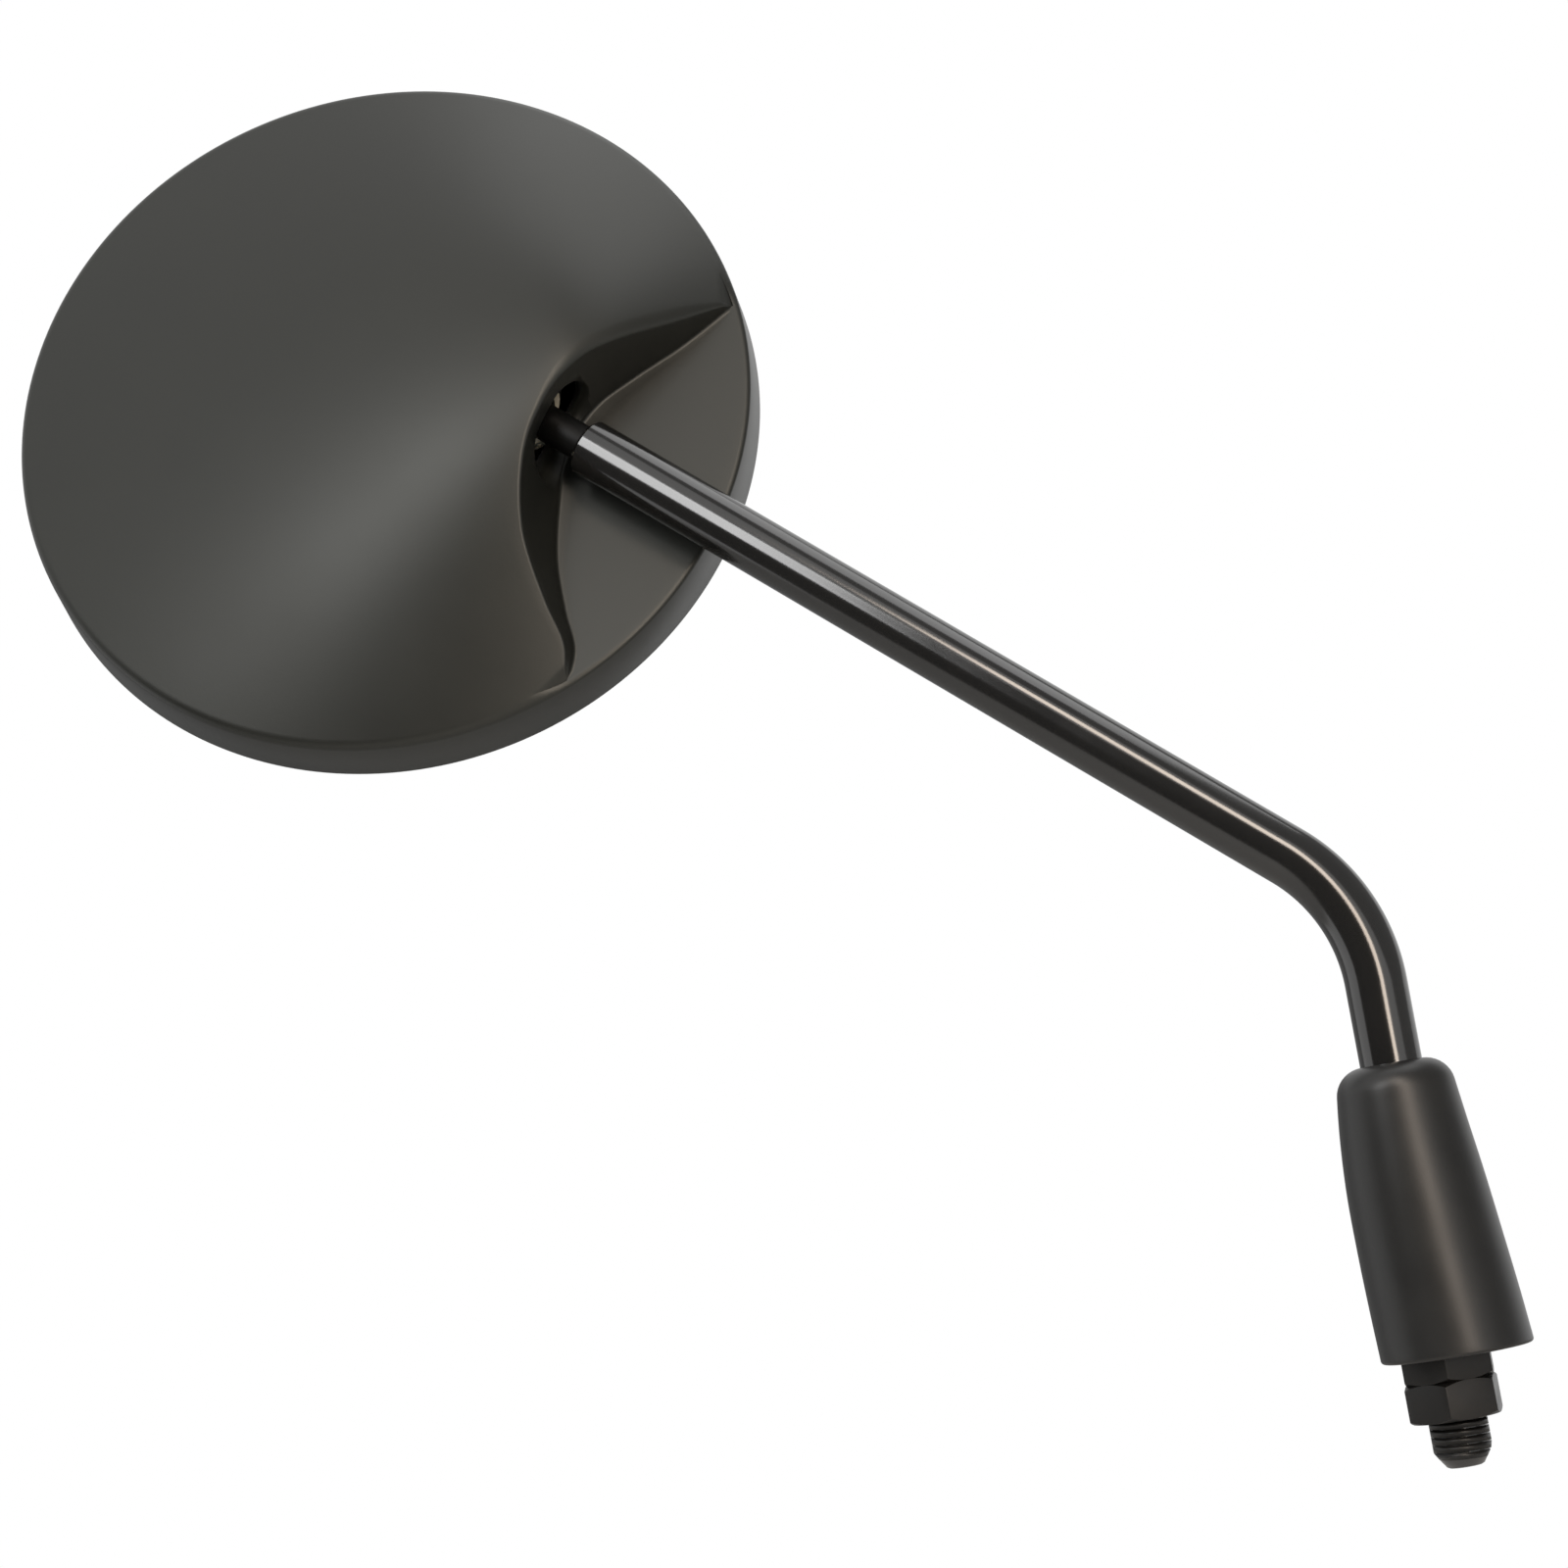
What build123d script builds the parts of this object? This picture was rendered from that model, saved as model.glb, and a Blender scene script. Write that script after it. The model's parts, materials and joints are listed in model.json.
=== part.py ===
from build123d import *
import math
import os

os.makedirs("parts", exist_ok=True)

# Frame: origin at the centre of the lock nut's lower face, Z up the stud,
# the rod bends toward -X, the moulded back of the head looks toward -Y.

# Rod and its stud
rod_dia = 10.0
bend_angle = 49.3
bend_radius = 30.0
corner_height = 83.9
rod_end_chamfer = 0.6
stud_below_nut = 7.6
stud_tip_length = 3.2
stud_tip_inset = 2.0
thread_pitch_drop = 0.406
stud_step = 0.1

# Nuts
nut_across_flats = 14.0
nut_height = 6.2
nut_chamfer_deg = 30.0
nut_bore_gap = 0.05
nut_countersink = 0.5
lock_nut_corner_deg = -85.3
jam_nut_corner_deg = -81.0

# Rubber boot: height, outer radius and sideways shift of each section
boot_sections = (
    (10.1, 12.2, 2.0),
    (18.0, 12.0, 1.5),
    (28.0, 11.6, 0.85),
    (38.0, 11.05, 0.3),
    (47.0, 10.2, 0.0),
    (57.1, 9.0, 0.0),
)
boot_wall = 1.4
boot_grip_length = 11.1
boot_bore_gap = 0.25
boot_top_round = 4.0
boot_foot_round = 0.6

# Ball joint
ball_from_corner = 171.9
neck_length = 14.8
ball_radius = 6.25
neck_radius = 3.25
shank_radius = 3.0
shank_length = 14.0
shank_gap = 0.03
shank_end_gap = 0.5
collar_gap = 0.1
joint_gap = 0.05
liner_wall = 1.0
liner_mouth_deg = 52.0
liner_slit = 1.2

# Head: its turn about the rod and the ball's place in it,
# with u along the rod, v across and w out of the moulded back
head_roll_deg = 23.4
ball_u = 24.7
ball_v = 10.8
ball_w = 17.4

# Housing
rim_radius = 66.7
rim_wall = 2.5
band_height = 9.2
band_draft = 0.45
edge_run = 1.4
edge_rise = 1.8
floor_height = 10.0
crown_u = 28.2
crown_v = 17.0
crown_height = 28.2
crown_blend = 0.478
slope_shares = (0.05, 0.2, 0.4, 0.6, 0.8, 1)
shell_wall = 2.4

# Scoop wall, as offsets from the ball along u and v, and its rounded lip
scoop_offsets = (
    (21.0, 55.2),
    (17.0, 37.8),
    (14.2, 27.4),
    (10.6, 17.7),
    (8.3, 10.2),
    (8.2, 4.2),
    (10.0, -2.3),
    (14.2, -9.8),
    (20.6, -19.0),
    (27.6, -26.0),
    (33.2, -31.0),
    (35.6, -36.4),
    (37.0, -46.8),
)
mouth_round = 1.0
slot_width = 19.0
slot_height = 13.0
slot_start = 3.2
slot_reach = 22.0

# Clamp plate, its screws and the bosses that take them
socket_boss_wall = 4.15
clamp_sheet = 1.2
clamp_lift = 0.2
clamp_ear_width = 2.45
screw_spread = 15.0
screw_setback = 1.0
screw_radius = 1.35
screw_length = 6.0
screw_hole_gap = 0.6
screw_head_radius = 3.2
screw_head_height = 2.2
screw_head_round = 0.9
recess_length = 3.6
recess_width = 0.9
recess_depth = 1.2
pilot_gap = 0.05
pilot_spare = 0.5
pilot_wall = 2.2

# Glass, its gasket and the bezel
glass_thickness = 3.0
glass_curve_radius = 1200.0
glass_gap = 0.8
gasket_thickness = 1.2
gasket_width = 2.6
ledge_width = 3.6
bezel_width = 2.75
bezel_height = 1.75
bezel_gap = 0.05
bezel_round = 0.6

# Directions of the upper run of the rod and of the head
bend = math.radians(bend_angle)
roll = math.radians(head_roll_deg)
rod_up = Vector(-math.sin(bend), 0, math.cos(bend))
rod_side = Vector(math.cos(bend), 0, math.sin(bend))
back = Vector(0, -1, 0) * math.cos(roll) + rod_side * math.sin(roll)
along = rod_up * -1.0
across = back.cross(along)

# Places on the rod and the planes and axes of the head
rod_end_from_corner = ball_from_corner - neck_length
corner = Vector(0, 0, corner_height)
rod_end = corner + rod_up * rod_end_from_corner
ball_centre = corner + rod_up * ball_from_corner
head_centre = ball_centre - along * ball_u - across * ball_v - back * ball_w
head = Plane(origin=head_centre, x_dir=along, z_dir=back)
head_section = Plane(origin=head_centre, x_dir=along * -1.0, z_dir=across)
head_axis = Axis(head_centre, back)
ball_section = Plane(origin=ball_centre, x_dir=along, z_dir=across * -1.0)
ball_axis = Axis(ball_centre, along)
rod_axis_plane = Plane(origin=ball_centre, x_dir=across, z_dir=along)
rod_end_plane = Plane(origin=rod_end, x_dir=across, z_dir=along)

# The rod: bright bar, threaded at the foot, bent cold and drilled at its top end
rod_radius = rod_dia / 2
thread_pitch_radius = rod_radius - thread_pitch_drop
nut_stack = 2 * nut_height
with BuildPart() as stem:
    with BuildLine(Plane.XZ) as rod_path:
        FilletPolyline(
            (0, nut_stack - stud_step),
            (0, corner_height),
            (
                -rod_end_from_corner * math.sin(bend),
                corner_height + rod_end_from_corner * math.cos(bend),
            ),
            radius=bend_radius,
        )
    with BuildSketch(Plane.XY.offset(nut_stack - stud_step)):
        Circle(rod_radius)
    sweep(path=rod_path.line)
    rod_rim = stem.edges().filter_by(GeomType.CIRCLE).sort_by(Axis.Z)[-1]
    chamfer(rod_rim, rod_end_chamfer)
    with BuildSketch(Plane.XZ):
        with BuildLine():
            Polyline(
                (0, -stud_below_nut),
                (rod_radius - stud_tip_inset, -stud_below_nut),
                (rod_radius, -stud_below_nut + stud_tip_length),
                (rod_radius, stud_step),
                (thread_pitch_radius, stud_step),
                (thread_pitch_radius, nut_stack - stud_step),
                (0, nut_stack - stud_step),
                close=True,
            )
        make_face()
    revolve(axis=Axis.Z)
    with BuildSketch(rod_end_plane):
        Circle(shank_radius + shank_gap)
    extrude(amount=shank_length + shank_end_gap, mode=Mode.SUBTRACT)
stem.part.label = "stem"

# Hexagon nuts, chamfered on both ends, jammed face to face on the stud
corner_radius = nut_across_flats / math.sqrt(3)
nut_flat_radius = nut_across_flats / 2
nut_drop = (corner_radius - nut_flat_radius) * math.tan(math.radians(nut_chamfer_deg))
nut_bore = thread_pitch_radius + nut_bore_gap
nut_mouth = nut_bore + nut_countersink


def nut_outline(foot):
    return (
        (nut_bore, foot + nut_countersink),
        (nut_mouth, foot),
        (nut_flat_radius, foot),
        (corner_radius, foot + nut_drop),
        (corner_radius, foot + nut_height - nut_drop),
        (nut_flat_radius, foot + nut_height),
        (nut_mouth, foot + nut_height),
        (nut_bore, foot + nut_height - nut_countersink),
    )


with BuildPart() as lock_nut:
    with BuildSketch():
        RegularPolygon(corner_radius, 6, rotation=lock_nut_corner_deg)
    extrude(amount=nut_height)
    with BuildSketch(Plane.XZ):
        with BuildLine():
            Polyline(*nut_outline(0), close=True)
        make_face()
    revolve(axis=Axis.Z, mode=Mode.INTERSECT)
lock_nut.part.label = "lock_nut"

with BuildPart() as jam_nut:
    with BuildSketch(Plane.XY.offset(nut_height)):
        RegularPolygon(corner_radius, 6, rotation=jam_nut_corner_deg)
    extrude(amount=nut_height)
    with BuildSketch(Plane.XZ):
        with BuildLine():
            Polyline(*nut_outline(nut_height), close=True)
        make_face()
    revolve(axis=Axis.Z, mode=Mode.INTERSECT)
jam_nut.part.label = "jam_nut"

# Boot: moulded rubber, hollow over the nuts and close on the rod at its top
boot_top = boot_sections[-1][0]
boot_grip_height = boot_top - boot_grip_length
boot_bore = rod_radius + boot_bore_gap
hollow_sections = [section for section in boot_sections if section[0] < boot_grip_height]
with BuildPart() as rubber_boot:
    for height, radius, shift in boot_sections:
        with BuildSketch(Plane.XY.offset(height)):
            with Locations((shift, 0)):
                Circle(radius)
    loft()
    fillet(rubber_boot.faces().sort_by(Axis.Z)[-1].edges(), boot_top_round)
    fillet(rubber_boot.faces().sort_by(Axis.Z)[0].edges(), boot_foot_round)
    for height, radius, shift in hollow_sections:
        with BuildSketch(Plane.XY.offset(height)):
            with Locations((shift, 0)):
                Circle(radius - boot_wall)
    with BuildSketch(Plane.XY.offset(boot_grip_height)):
        Circle(boot_bore)
    loft(mode=Mode.SUBTRACT)
    with BuildSketch(Plane.XY.offset(boot_top)):
        Circle(boot_bore)
    extrude(amount=-boot_grip_length, mode=Mode.SUBTRACT)
rubber_boot.part.label = "rubber_boot"

# Ball stud: turned ball and neck with a plain shank in the rod's drilled end
with BuildPart() as ball_stud:
    with Locations(Location(ball_centre)):
        Sphere(ball_radius)
    with BuildSketch(rod_axis_plane):
        Circle(neck_radius)
    extrude(amount=neck_length - collar_gap)
    with BuildSketch(rod_axis_plane.offset(neck_length - collar_gap)):
        Circle(shank_radius)
    extrude(amount=shank_length + collar_gap)
ball_stud.part.label = "ball_stud"

# Liner: a slit nylon shell between the ball and its socket
liner_inner = ball_radius + joint_gap
liner_outer = liner_inner + liner_wall
liner_mouth = math.radians(liner_mouth_deg)
liner_reach = 2 * liner_outer
with BuildPart() as ball_liner:
    with Locations(Location(ball_centre)):
        Sphere(liner_outer)
        Sphere(liner_inner, mode=Mode.SUBTRACT)
    with BuildSketch(ball_section):
        with BuildLine():
            Polyline(
                (0, 0),
                (liner_reach * math.cos(liner_mouth), liner_reach * math.sin(liner_mouth)),
                (liner_reach, liner_reach * math.sin(liner_mouth)),
                (liner_reach, 0),
                close=True,
            )
        make_face()
    revolve(axis=ball_axis, mode=Mode.SUBTRACT)
    with BuildSketch(Plane(origin=ball_centre, x_dir=along, z_dir=back)):
        with Locations((0, -liner_outer)):
            Rectangle(2 * liner_reach, liner_slit)
    extrude(amount=liner_outer, both=True, mode=Mode.SUBTRACT)
ball_liner.part.label = "ball_liner"

# Levels and places inside the housing
socket_radius = liner_outer + joint_gap
pilot_radius = screw_radius + pilot_gap
pilot_depth = screw_length + pilot_spare
screw_points = (
    (ball_u - screw_spread, ball_v),
    (ball_u - screw_setback, ball_v + screw_spread),
    (ball_u - screw_setback, ball_v - screw_spread),
)
recess_radius = rim_radius - rim_wall
glass_radius = recess_radius - glass_gap
cavity_radius = recess_radius - ledge_width


def glass_sag(radius):
    return glass_curve_radius - math.sqrt(glass_curve_radius**2 - radius**2)


bezel_inner = recess_radius - bezel_gap - bezel_width
glass_centre_front = bezel_height + bezel_gap - glass_sag(bezel_inner)
glass_edge_back = glass_centre_front + glass_sag(glass_radius) + glass_thickness
ledge = glass_edge_back + gasket_thickness

# Section of the rim, and the lines of the scoop's wall outside and inside the shell
band_top = (rim_radius - band_draft, band_height)
slope_foot = (band_top[0] - edge_run, band_height + edge_rise)
scoop_wall_line = [(ball_u + offset_u, ball_v + offset_v) for offset_u, offset_v in scoop_offsets]
inner_wall_line = []
for index, (point_u, point_v) in enumerate(scoop_wall_line):
    before_u, before_v = scoop_wall_line[max(index - 1, 0)]
    after_u, after_v = scoop_wall_line[min(index + 1, len(scoop_wall_line) - 1)]
    thickness = shell_wall / math.hypot(after_u - before_u, after_v - before_v)
    inner_wall_line.append(
        (point_u + (after_v - before_v) * thickness, point_v - (after_u - before_u) * thickness)
    )


def scoop_far(wall_line):
    far_u = 2 * rim_radius
    return ((far_u, wall_line[-1][1]), (far_u, wall_line[0][1]))


# Back of the shell: circles from the crown down to the rim, with centre, radius and height
slope_rise = crown_height - slope_foot[1]
slope_sections = []
for share in slope_shares:
    fall = (math.hypot(share, crown_blend) - crown_blend) / (math.hypot(1, crown_blend) - crown_blend)
    slope_centre = (crown_u * (1 - share), crown_v * (1 - share))
    slope_sections.append((slope_centre, slope_foot[0] * share, crown_height - slope_rise * fall))

# Inner space of the housing: the shell's inside less the scoop's walls and the bosses
with BuildPart() as hollow:
    for centre, radius, height in slope_sections:
        with BuildSketch(head.offset(height - shell_wall)):
            with Locations(centre):
                Circle(radius)
    loft()
    with BuildSketch(head.offset(ledge)):
        Circle(cavity_radius)
    extrude(amount=crown_height, mode=Mode.INTERSECT)
    with BuildSketch(head.offset(ledge)):
        Circle(cavity_radius)
    extrude(amount=slope_foot[1] - shell_wall - ledge)
    with BuildSketch(head.offset(-bezel_height)):
        Circle(recess_radius)
    extrude(amount=ledge + bezel_height)
    with BuildSketch(head.offset(floor_height - shell_wall)):
        with BuildLine():
            Spline(*inner_wall_line)
            Polyline(inner_wall_line[-1], *scoop_far(inner_wall_line), inner_wall_line[0])
        make_face()
    extrude(amount=crown_height, mode=Mode.SUBTRACT)
    with BuildSketch(head.offset(ball_w)):
        with Locations((ball_u, ball_v)):
            Circle(socket_radius + socket_boss_wall)
        with Locations(*screw_points):
            Circle(pilot_radius + pilot_wall)
        make_hull()
    extrude(amount=crown_height, mode=Mode.SUBTRACT)

# Housing: moulded shell sloping from a crown over the ball to a round rim,
# with an open scoop that the rod lies in
with BuildPart() as housing:
    for centre, radius, height in slope_sections:
        with BuildSketch(head.offset(height)):
            with Locations(centre):
                Circle(radius)
    loft()
    with BuildSketch(head_section):
        with BuildLine():
            TangentArc(band_top, slope_foot, tangent=(-band_draft, band_height))
            Polyline(slope_foot, (0, slope_foot[1]), (0, 0), (rim_radius, 0), band_top)
        make_face()
    revolve(axis=head_axis)
    with BuildSketch(head.offset(floor_height)):
        with BuildLine():
            Spline(*scoop_wall_line)
            Polyline(scoop_wall_line[-1], *scoop_far(scoop_wall_line), scoop_wall_line[0])
        make_face()
    extrude(amount=crown_height, mode=Mode.SUBTRACT)
    scoop_wall = housing.faces().filter_by(GeomType.EXTRUSION)[0]
    fillet(scoop_wall.edges().sort_by(SortBy.LENGTH)[-3:-1], mouth_round)
    add(hollow.part, mode=Mode.SUBTRACT)
    with Locations(Location(ball_centre)):
        Sphere(socket_radius, mode=Mode.SUBTRACT)
    with BuildSketch(rod_axis_plane.offset(slot_start)):
        SlotOverall(slot_width, slot_height)
    extrude(amount=slot_reach, mode=Mode.SUBTRACT)
    with BuildSketch(head.offset(ball_w)):
        with Locations(*screw_points):
            Circle(pilot_radius)
    extrude(amount=pilot_depth, mode=Mode.SUBTRACT)
housing.part.label = "housing"

# Clamp: pressed steel, a cup under the ball with three ears screwed to the bosses
clamp_top = ball_w - clamp_lift
clamp_under = clamp_top - clamp_sheet
screw_hole_radius = screw_radius + screw_hole_gap
with BuildPart() as ball_clamp:
    with Locations(Location(ball_centre)):
        Sphere(socket_radius + clamp_sheet)
    with BuildSketch(head.offset(clamp_under)):
        with Locations(*screw_points):
            Circle(screw_hole_radius + clamp_ear_width)
        make_hull()
    extrude(amount=clamp_sheet)
    with BuildSketch(head.offset(clamp_top)):
        with Locations((ball_u, ball_v)):
            Circle(2 * screw_spread)
    extrude(amount=crown_height, mode=Mode.SUBTRACT)
    with Locations(Location(ball_centre)):
        Sphere(socket_radius, mode=Mode.SUBTRACT)
    with BuildSketch(rod_axis_plane.offset(slot_start)):
        SlotOverall(slot_width, slot_height)
    extrude(amount=slot_reach, mode=Mode.SUBTRACT)
    with BuildSketch(head.offset(clamp_top)):
        with Locations(*screw_points):
            Circle(screw_hole_radius)
    extrude(amount=-clamp_sheet, mode=Mode.SUBTRACT)
ball_clamp.part.label = "ball_clamp"

# Clamp screws: three pan-head self-tappers with cross recesses, driven from the front
with BuildPart() as clamp_screws:
    with BuildSketch(head.offset(clamp_under)):
        with Locations(*screw_points):
            Circle(screw_head_radius)
    extrude(amount=-screw_head_height)
    head_faces = clamp_screws.faces().filter_by(Plane(origin=head_centre, z_dir=back))
    fillet(head_faces.group_by(head_axis)[0].edges(), screw_head_round)
    with BuildSketch(head.offset(clamp_under)):
        with Locations(*screw_points):
            Circle(screw_radius)
    extrude(amount=clamp_sheet + clamp_lift + screw_length)
    with BuildSketch(head.offset(clamp_under - screw_head_height)):
        with Locations(*screw_points):
            Rectangle(recess_length, recess_width)
            Rectangle(recess_width, recess_length)
    extrude(amount=recess_depth, mode=Mode.SUBTRACT)
clamp_screws.part.label = "clamp_screws"

# Gasket: a die-cut foam ring on the housing's ledge
with BuildPart() as glass_gasket:
    with BuildSketch(head.offset(glass_edge_back)):
        Circle(glass_radius)
        Circle(glass_radius - gasket_width, mode=Mode.SUBTRACT)
    extrude(amount=gasket_thickness)
glass_gasket.part.label = "glass_gasket"


# Mirror glass: bent to a large radius, convex toward the rider
def glass_arc(level):
    return [(radius, level + glass_sag(radius)) for radius in (0, glass_radius / 2, glass_radius)]


with BuildPart() as mirror_glass:
    with BuildSketch(head_section):
        with BuildLine():
            front = ThreePointArc(*glass_arc(glass_centre_front))
            rear = ThreePointArc(*glass_arc(glass_centre_front + glass_thickness))
            Line(front @ 0, rear @ 0)
            Line(front @ 1, rear @ 1)
        make_face()
    revolve(axis=head_axis)
mirror_glass.part.label = "mirror_glass"

# Bezel: moulded ring pressed into the housing's mouth over the edge of the glass
with BuildPart() as glass_bezel:
    with BuildSketch(head):
        Circle(recess_radius - bezel_gap)
        Circle(bezel_inner, mode=Mode.SUBTRACT)
    extrude(amount=bezel_height)
    bezel_front = glass_bezel.faces().sort_by(head_axis)[0]
    fillet(bezel_front.edges().sort_by(SortBy.LENGTH)[0], bezel_round)
glass_bezel.part.label = "glass_bezel"

pieces = (
    stem,
    lock_nut,
    jam_nut,
    rubber_boot,
    ball_stud,
    ball_liner,
    housing,
    ball_clamp,
    clamp_screws,
    glass_gasket,
    mirror_glass,
    glass_bezel,
)
for piece in pieces:
    export_step(piece.part, "parts/" + piece.part.label + ".step")
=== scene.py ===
import json
import math

import bmesh
import bpy
import numpy as np
from mathutils import Matrix, Vector


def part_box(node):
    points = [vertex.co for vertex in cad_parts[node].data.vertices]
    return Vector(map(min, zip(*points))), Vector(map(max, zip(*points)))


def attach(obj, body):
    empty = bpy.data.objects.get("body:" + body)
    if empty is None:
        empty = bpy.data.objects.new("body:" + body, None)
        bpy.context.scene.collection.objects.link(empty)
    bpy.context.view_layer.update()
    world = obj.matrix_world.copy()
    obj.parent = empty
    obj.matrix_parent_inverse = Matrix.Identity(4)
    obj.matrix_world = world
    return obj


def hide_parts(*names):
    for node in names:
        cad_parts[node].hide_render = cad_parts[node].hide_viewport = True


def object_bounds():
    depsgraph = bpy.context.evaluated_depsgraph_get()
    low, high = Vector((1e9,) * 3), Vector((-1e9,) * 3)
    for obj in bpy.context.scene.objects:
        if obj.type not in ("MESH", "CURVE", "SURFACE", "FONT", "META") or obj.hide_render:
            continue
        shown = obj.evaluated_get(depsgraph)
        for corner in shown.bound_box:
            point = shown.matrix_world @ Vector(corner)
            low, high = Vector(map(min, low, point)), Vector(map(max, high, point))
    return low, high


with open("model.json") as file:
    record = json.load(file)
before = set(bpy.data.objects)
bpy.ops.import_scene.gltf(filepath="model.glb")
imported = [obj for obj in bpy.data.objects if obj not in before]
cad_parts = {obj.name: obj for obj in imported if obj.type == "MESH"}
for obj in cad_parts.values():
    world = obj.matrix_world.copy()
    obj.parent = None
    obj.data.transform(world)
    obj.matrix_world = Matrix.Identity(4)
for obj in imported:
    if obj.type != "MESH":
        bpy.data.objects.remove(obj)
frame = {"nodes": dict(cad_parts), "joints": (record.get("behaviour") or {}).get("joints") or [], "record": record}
cad_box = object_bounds()

# The stem: one 10 mm bright steel bar, bent cold, drilled at its top end for the
# ball stud, turned down at its foot for the thread, and stoved in gloss black enamel.
MM = 0.001
joints = {joint["name"]: joint for joint in frame["joints"]}
mounts = {mount["name"]: mount for mount in frame["record"]["mounts"]}
ball = Vector(joints["head_spin"]["pos_m"])
along = Vector(joints["head_spin"]["axis"]).normalized()
rod_up = -along
upright = Vector((0, 0, 1))
sideways = Vector((1, 0, 0))
level = Vector((0, 1, 0))

rod_radius = mounts["thread_stud"]["dims"]["r_mm"] * MM
rod_segments = 72
bend_radius = 30 * MM
bend_steps = 40
neck_length = 14.8 * MM
rod_end_chamfer = 0.6 * MM
shank_hole_radius = 3.03 * MM
shank_hole_depth = 14.5 * MM
thread_root_radius = 4.2 * MM
stud_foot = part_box("stem")[0][2]
stud_tip_radius = 3.0 * MM
stud_taper = 3.2 * MM
stud_root_share = 0.6  # of the taper's height, where the tip meets the thread's root
stud_edge = 0.4 * MM
nut_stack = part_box("jam_nut")[1][2]
merge_distance = 0.002 * MM
sliver_width = 0.001 * MM


def linear(hex_colour):
    """An sRGB hex colour as the linear RGBA that shaders take."""
    shares = [int(hex_colour[i:i + 2], 16) / 255 for i in (1, 3, 5)]
    return (*(s / 12.92 if s <= 0.04045 else ((s + 0.055) / 1.055) ** 2.4 for s in shares), 1)


def add_node(tree, kind, inputs=(), give=None, **settings):
    """Adds a node with its settings and its inputs, by name or in order; returns one output."""
    node = tree.nodes.new(kind)
    for name, value in settings.items():
        setattr(node, name, value)
    sockets = [socket for socket in node.inputs if socket.enabled]
    if isinstance(inputs, dict):
        sockets = [next(s for s in sockets if s.name == name) for name in inputs]
        inputs = inputs.values()
    for socket, value in zip(sockets, inputs):
        if isinstance(value, bpy.types.NodeSocket):
            tree.links.new(value, socket)
        else:
            socket.default_value = value
    return next((s for s in node.outputs if s.enabled and give in (None, s.name)), None)


def start_material(name):
    """An empty material, its tree, and the Object coordinates that its patterns read."""
    material = bpy.data.materials.new(name)
    material.use_nodes = True
    tree = material.node_tree
    tree.nodes.clear()
    return material, tree, add_node(tree, "ShaderNodeTexCoord", give="Object")


def close_material(tree, tones, roughness, **inputs):
    """Ends a material in one Principled shader, whose other inputs are named with underscores.

    Tones are one colour, or a pattern and the two colours that it runs between. Roughness is one
    value, or a pattern and the two values that it runs between.
    """
    if isinstance(tones, str):
        colour = linear(tones)
    else:
        pattern, dark, light = tones
        mix = {"Factor": pattern, "A": linear(dark), "B": linear(light)}
        colour = add_node(tree, "ShaderNodeMix", mix, data_type="RGBA")
    if isinstance(roughness, tuple):
        pattern, low, high = roughness
        span = {"Value": pattern, "To Min": low, "To Max": high}
        roughness = add_node(tree, "ShaderNodeMapRange", span)
    named = {name.replace("_", " "): value for name, value in inputs.items()}
    named |= {"Base Color": colour, "Roughness": roughness}
    shader = add_node(tree, "ShaderNodeBsdfPrincipled", named)
    add_node(tree, "ShaderNodeOutputMaterial", {"Surface": shader})


def per_metre(size_mm):
    """The scale of a pattern whose marks are this many millimetres across."""
    return 1 / (size_mm * MM)


def ring_at(centre, axis_a, axis_b, radius, segments):
    """A ring of points round a centre, in the plane of two directions."""
    turns = [2 * math.pi * i / segments for i in range(segments)]
    return [centre + axis_a * (radius * math.cos(t)) + axis_b * (radius * math.sin(t)) for t in turns]


def skin_rings(rings, loop=False):
    """Points and faces over rings of equally many points: a loop, or closed at both ends."""
    rows, count = len(rings), len(rings[0])
    points = [tuple(point) for ring in rings for point in ring]
    pairs = [(row, (row + 1) % rows) for row in range(rows if loop else rows - 1)]
    faces = [
        (a * count + i, a * count + (i + 1) % count, b * count + (i + 1) % count, b * count + i)
        for a, b in pairs
        for i in range(count)
    ]
    if not loop:
        faces += [tuple(range(count)), tuple(range((rows - 1) * count, rows * count))]
    return points, faces


def add_object(name, data, *materials):
    """An object at the origin that holds a mesh with its materials, a lamp or a camera."""
    for material in materials:
        data.materials.append(material)
    piece = bpy.data.objects.new(name, data)
    bpy.context.scene.collection.objects.link(piece)
    return piece


def finish_piece(name, shape, materials, crease_deg):
    """A smooth-shaded object made from an edited shape, sharp where it bends past the crease."""
    mesh = bpy.data.meshes.new(name)
    shape.to_mesh(mesh)
    shape.free()
    mesh.shade_smooth()
    mesh.set_sharp_from_angle(angle=math.radians(crease_deg))
    return add_object(name, mesh, *materials)


def make_piece(name, points, faces, *materials, crease_deg=30):
    """A piece from points and faces, its points merged and its faces turned outwards."""
    draft = bpy.data.meshes.new(name)
    draft.from_pydata(points, [], faces)
    shape = bmesh.new()
    shape.from_mesh(draft)
    bpy.data.meshes.remove(draft)
    bmesh.ops.remove_doubles(shape, verts=shape.verts, dist=merge_distance)
    bmesh.ops.dissolve_degenerate(shape, edges=shape.edges, dist=sliver_width)
    bmesh.ops.recalc_face_normals(shape, faces=shape.faces)
    return finish_piece(name, shape, materials, crease_deg)


bend = math.acos(rod_up.dot(upright))
corner = ball + along * (-ball.x / along.x)
bend_start = corner - upright * (bend_radius * math.tan(bend / 2))
bend_centre = bend_start - sideways * bend_radius
rod_side = Vector((math.cos(bend), 0, math.sin(bend)))
rod_end = ball + along * neck_length

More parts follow.
